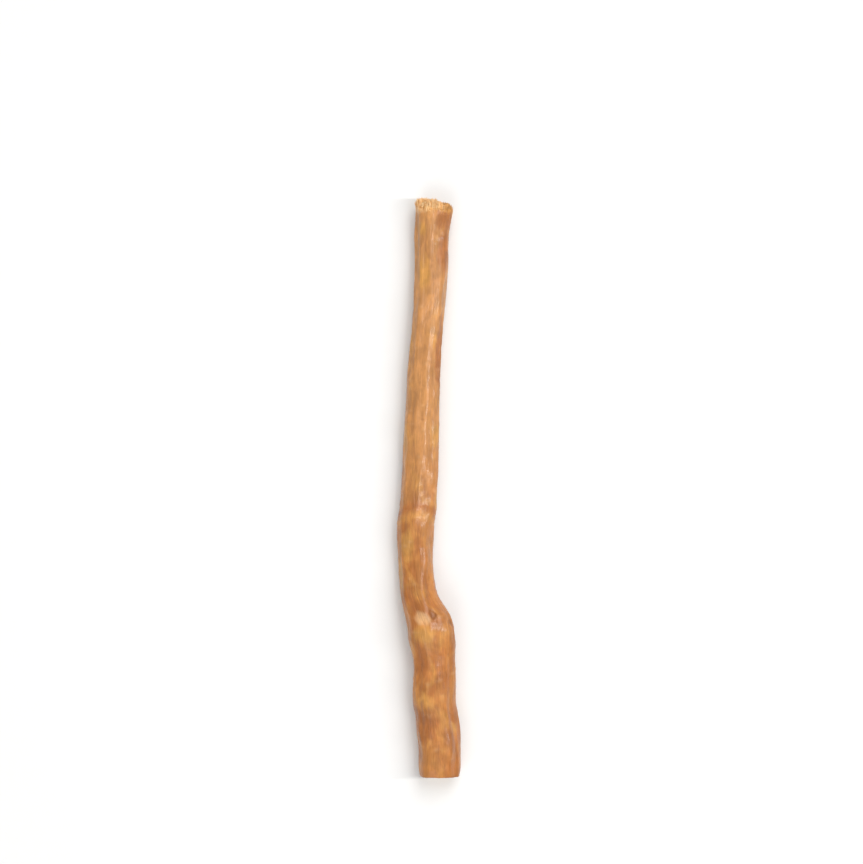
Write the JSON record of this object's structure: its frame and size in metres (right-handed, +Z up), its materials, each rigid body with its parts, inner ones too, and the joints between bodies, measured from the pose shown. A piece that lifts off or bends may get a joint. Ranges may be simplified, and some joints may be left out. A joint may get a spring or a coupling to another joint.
{
  "type": "miswak stick",
  "caption": "Cut length of root with its bark on and a rough fibrous head, used as a natural toothbrush; gently bent, with a shouldered knee, root scars and a sawn butt.",
  "frame": {"origin": "on the surface the stick rests on, under the centre of its bounding box", "axes": "+Z up from the surface; +Y along the stick towards its rough-cut head; +X across it, towards the side the knee's shoulder stands out on"},
  "size_m": [0.0199, 0.1799, 0.014],
  "materials": {
    "bark": "smooth moist root bark, orange-brown with ochre and pale tan patches, satin, with fine lengthwise wrinkles",
    "torn_wood": "pale straw-coloured wood fibres, torn and matt, at the rough head and on the sawn butt"
  },
  "bodies": {
    "root": {"stick": "bark"}
  },
  "joints": []
}
